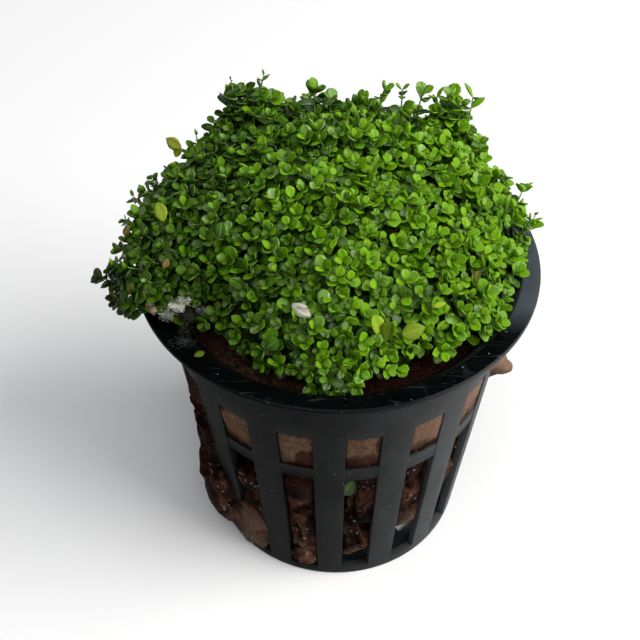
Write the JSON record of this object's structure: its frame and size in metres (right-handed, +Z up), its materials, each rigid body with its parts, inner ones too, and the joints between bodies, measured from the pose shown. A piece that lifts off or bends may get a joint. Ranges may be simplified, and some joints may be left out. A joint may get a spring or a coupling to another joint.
{
  "type": "potted dwarf baby tears",
  "caption": "Cushion of small-leaved aquarium foliage growing from a wet mineral-wool plug in a slotted plastic net pot.",
  "frame": {"origin": "middle of the pot's underside, on the surface that it stands on", "axes": "+Z up, -Y towards the front of the picture, +X to its right"},
  "size_m": [0.0594, 0.055, 0.0709],
  "materials": {
    "pot_plastic": "satin black moulded plastic, scratched",
    "wet_wool": "wet brown mineral wool",
    "leaves": "small glossy green leaves",
    "husk": "pale dry seed husk",
    "loose_fibre": "loose white wool fibre"
  },
  "bodies": {
    "root": {"net_pot": "pot_plastic", "growing_plug": "wet_wool", "tuft_back_left": "leaves", "tuft_back_middle": "leaves", "tuft_back_right": "leaves", "tuft_far_right": "leaves", "tuft_left": "leaves", "tuft_middle_left": "leaves", "tuft_crown": "leaves", "tuft_middle_right": "leaves", "tuft_right": "leaves", "tuft_left_rim": "leaves", "tuft_front_left": "leaves", "tuft_front_middle": "leaves", "tuft_front_right": "leaves", "tuft_right_rim": "leaves", "tuft_front_rim": "leaves", "seed_husk": "husk", "wool_fluff": "loose_fibre", "fallen_leaf": "leaves", "leaf_in_slot": "leaves"}
  },
  "joints": []
}
